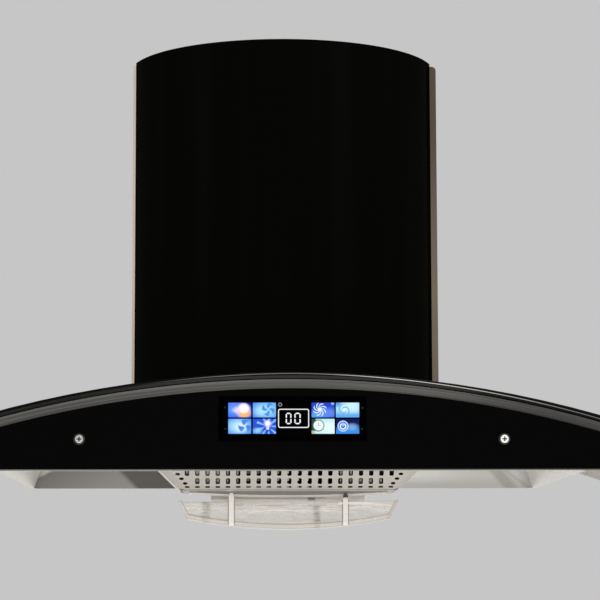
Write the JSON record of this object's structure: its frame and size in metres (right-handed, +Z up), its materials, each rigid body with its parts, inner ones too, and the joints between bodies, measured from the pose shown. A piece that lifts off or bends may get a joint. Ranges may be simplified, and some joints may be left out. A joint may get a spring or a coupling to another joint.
{
  "type": "range hood",
  "caption": "Wall-hung curved glass range hood: arched canopy with touch display, bowed chimney, slotted tray, oil cup and a blower with a damped duct outlet.",
  "frame": {"origin": "centre of the four wall-fixing holes, on the wall's plane", "axes": "+Z up, -Y out into the room, +X to the right as seen from the room"},
  "size_m": [0.9, 0.423, 0.5377],
  "materials": {
    "canopy_glass": "smoked, polished edge",
    "black_glass": "gloss, back-painted black",
    "display_glass": "gloss",
    "display_light": "lit",
    "brushed_steel": "brushed",
    "zinc_steel": "galvanised",
    "screw_steel": "bright",
    "chrome_trim": "polished",
    "black_plastic": "fine grain",
    "white_plastic": "satin",
    "circuit_board": "lacquered",
    "motor_paint": "satin",
    "clear_plastic": "clear, slightly frosted",
    "lamp_glass": "frosted"
  },
  "bodies": {
    "hood": {"canopy_glass": "canopy_glass", "canopy_shell": "brushed_steel", "front_panel": "black_glass", "panel_screws": "screw_steel", "panel_washers": "screw_steel", "panel_brackets": "zinc_steel", "display_lens": "display_glass", "display_housing": "black_plastic", "display_screen": "display_light", "display_board": "circuit_board", "control_box": "black_plastic", "capacitor": "white_plastic", "smoke_pan": "brushed_steel", "plenum": "zinc_steel", "chimney_glass": "black_glass", "chimney_sleeve": "brushed_steel", "back_panel": "zinc_steel", "cap_plate": "zinc_steel", "duct_collar": "black_plastic", "damper_pins": "screw_steel", "cap_screws": "screw_steel", "cable_gland": "black_plastic", "volute_housing": "zinc_steel", "volute_front": "zinc_steel", "inlet_ring": "black_plastic", "volute_standoffs": "screw_steel", "motor": "motor_paint", "motor_flange": "zinc_steel", "outlet_box": "zinc_steel", "grille_clips": "screw_steel", "lamp_housings": "chrome_trim", "lamp_lenses": "lamp_glass"},
    "wheel": {"motor_shaft": "screw_steel", "impeller": "zinc_steel", "impeller_nut": "screw_steel"},
    "flap_left": {"damper_flap_left": "white_plastic"},
    "flap_right": {"damper_flap_right": "white_plastic"},
    "tray": {"grille": "brushed_steel", "inner_baffle": "brushed_steel", "drip_lip": "brushed_steel", "drip_chute": "brushed_steel"},
    "cup": {"oil_cup": "clear_plastic"}
  },
  "joints": [
    {"name": "blower_spin", "type": "hinge", "parent": "hood", "child": "wheel", "pos_m": [-0.044, -0.06, -0.039], "axis": [0, 1, 0], "continuous": true},
    {"name": "flap_left_swing", "type": "hinge", "parent": "hood", "child": "flap_left", "pos_m": [-0.004, -0.092, 0.1335], "axis": [0, 1, 0], "range_deg": [0, 78]},
    {"name": "flap_right_swing", "type": "hinge", "parent": "hood", "child": "flap_right", "pos_m": [0.004, -0.092, 0.1335], "axis": [0, -1, 0], "range_deg": [0, 78]},
    {"name": "tray_drop", "type": "slide", "parent": "hood", "child": "tray", "axis": [0, 0, -1], "range_m": [0, 0.12]},
    {"name": "cup_drop", "type": "slide", "parent": "tray", "child": "cup", "axis": [0, 0, -1], "range_m": [0, 0.08]}
  ]
}
